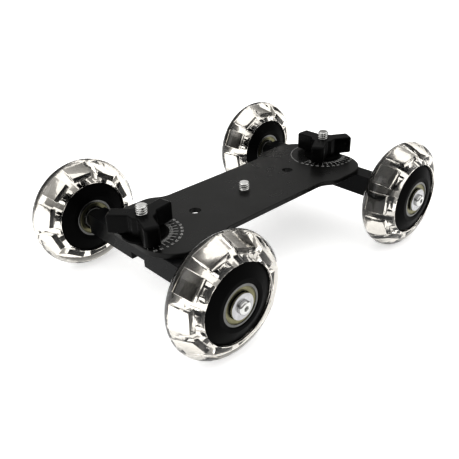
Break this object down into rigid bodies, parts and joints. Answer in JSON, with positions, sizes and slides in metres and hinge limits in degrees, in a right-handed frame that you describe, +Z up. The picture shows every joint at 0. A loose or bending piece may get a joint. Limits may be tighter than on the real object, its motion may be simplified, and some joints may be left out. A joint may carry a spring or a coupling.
{
  "type": "tabletop camera dolly",
  "caption": "Low rolling camera dolly: a flat dog-bone deck with a central camera screw on two swivelling axle bars, clamped by three-arm knobs, with clear skate wheels.",
  "frame": {"origin": "on the floor, under the middle of the deck", "axes": "+X towards the front truck along the deck, +Y to the left along the axles, +Z up; both trucks straight"},
  "size_m": [0.209, 0.1486, 0.064],
  "materials": {
    "black_anodised": "black anodised, satin with a soft gloss",
    "black_plastic": "moulded black plastic, smooth",
    "black_washer": "black nylon, matte",
    "brass_insert": "plain turned brass",
    "bright_steel": "bright nickel plate",
    "zinc_steel": "zinc plate, fine turned grain",
    "bearing_steel": "ground steel",
    "bearing_shield": "pressed steel with a warm passivated tint",
    "clear_urethane": "clear cast polyurethane, glossy"
  },
  "bodies": {
    "deck": {"deck_plate": "black_anodised", "camera_screw": "bright_steel", "front_knob_washer": "black_washer", "rear_knob_washer": "black_washer"},
    "front_truck": {"front_truck_bar": "black_anodised", "front_pivot_bolt": "bright_steel", "front_axle_collars": "black_anodised", "front_axle_sleeves": "bright_steel", "front_axle_screws": "bright_steel", "front_axle_washers": "zinc_steel", "front_bearing_spacers": "bright_steel", "front_bearing_inner_races": "bearing_steel"},
    "front_knob": {"front_knob": "black_plastic", "front_knob_insert": "brass_insert"},
    "front_left_wheel": {"front_left_wheel_tyre": "clear_urethane", "front_left_wheel_core": "black_plastic", "front_left_bearing_outer_races": "bearing_steel", "front_left_bearing_balls": "bright_steel", "front_left_bearing_shields": "bearing_shield"},
    "front_right_wheel": {"front_right_wheel_tyre": "clear_urethane", "front_right_wheel_core": "black_plastic", "front_right_bearing_outer_races": "bearing_steel", "front_right_bearing_balls": "bright_steel", "front_right_bearing_shields": "bearing_shield"},
    "rear_truck": {"rear_truck_bar": "black_anodised", "rear_pivot_bolt": "bright_steel", "rear_axle_collars": "black_anodised", "rear_axle_sleeves": "bright_steel", "rear_axle_screws": "bright_steel", "rear_axle_washers": "zinc_steel", "rear_bearing_spacers": "bright_steel", "rear_bearing_inner_races": "bearing_steel"},
    "rear_knob": {"rear_knob": "black_plastic", "rear_knob_insert": "brass_insert"},
    "rear_left_wheel": {"rear_left_wheel_tyre": "clear_urethane", "rear_left_wheel_core": "black_plastic", "rear_left_bearing_outer_races": "bearing_steel", "rear_left_bearing_balls": "bright_steel", "rear_left_bearing_shields": "bearing_shield"},
    "rear_right_wheel": {"rear_right_wheel_tyre": "clear_urethane", "rear_right_wheel_core": "black_plastic", "rear_right_bearing_outer_races": "bearing_steel", "rear_right_bearing_balls": "bright_steel", "rear_right_bearing_shields": "bearing_shield"}
  },
  "joints": [
    {"name": "front_truck_swivel", "type": "hinge", "parent": "deck", "child": "front_truck", "pos_m": [0.0725, 0, 0.0382], "axis": [0, 0, 1], "range_deg": [-30, 30]},
    {"name": "front_knob_turn", "type": "hinge", "parent": "front_truck", "child": "front_knob", "pos_m": [0.0725, 0, 0.0422], "axis": [0, 0, 1], "range_deg": [0, 270]},
    {"name": "front_left_wheel_spin", "type": "hinge", "parent": "front_truck", "child": "front_left_wheel", "pos_m": [0.0725, 0.06, 0.032], "axis": [0, 1, 0], "continuous": true},
    {"name": "front_right_wheel_spin", "type": "hinge", "parent": "front_truck", "child": "front_right_wheel", "pos_m": [0.0725, -0.06, 0.032], "axis": [0, 1, 0], "continuous": true},
    {"name": "rear_truck_swivel", "type": "hinge", "parent": "deck", "child": "rear_truck", "pos_m": [-0.0725, 0, 0.0382], "axis": [0, 0, 1], "range_deg": [-30, 30]},
    {"name": "rear_knob_turn", "type": "hinge", "parent": "rear_truck", "child": "rear_knob", "pos_m": [-0.0725, 0, 0.0422], "axis": [0, 0, 1], "range_deg": [0, 270]},
    {"name": "rear_left_wheel_spin", "type": "hinge", "parent": "rear_truck", "child": "rear_left_wheel", "pos_m": [-0.0725, 0.06, 0.032], "axis": [0, 1, 0], "continuous": true},
    {"name": "rear_right_wheel_spin", "type": "hinge", "parent": "rear_truck", "child": "rear_right_wheel", "pos_m": [-0.0725, -0.06, 0.032], "axis": [0, 1, 0], "continuous": true}
  ]
}
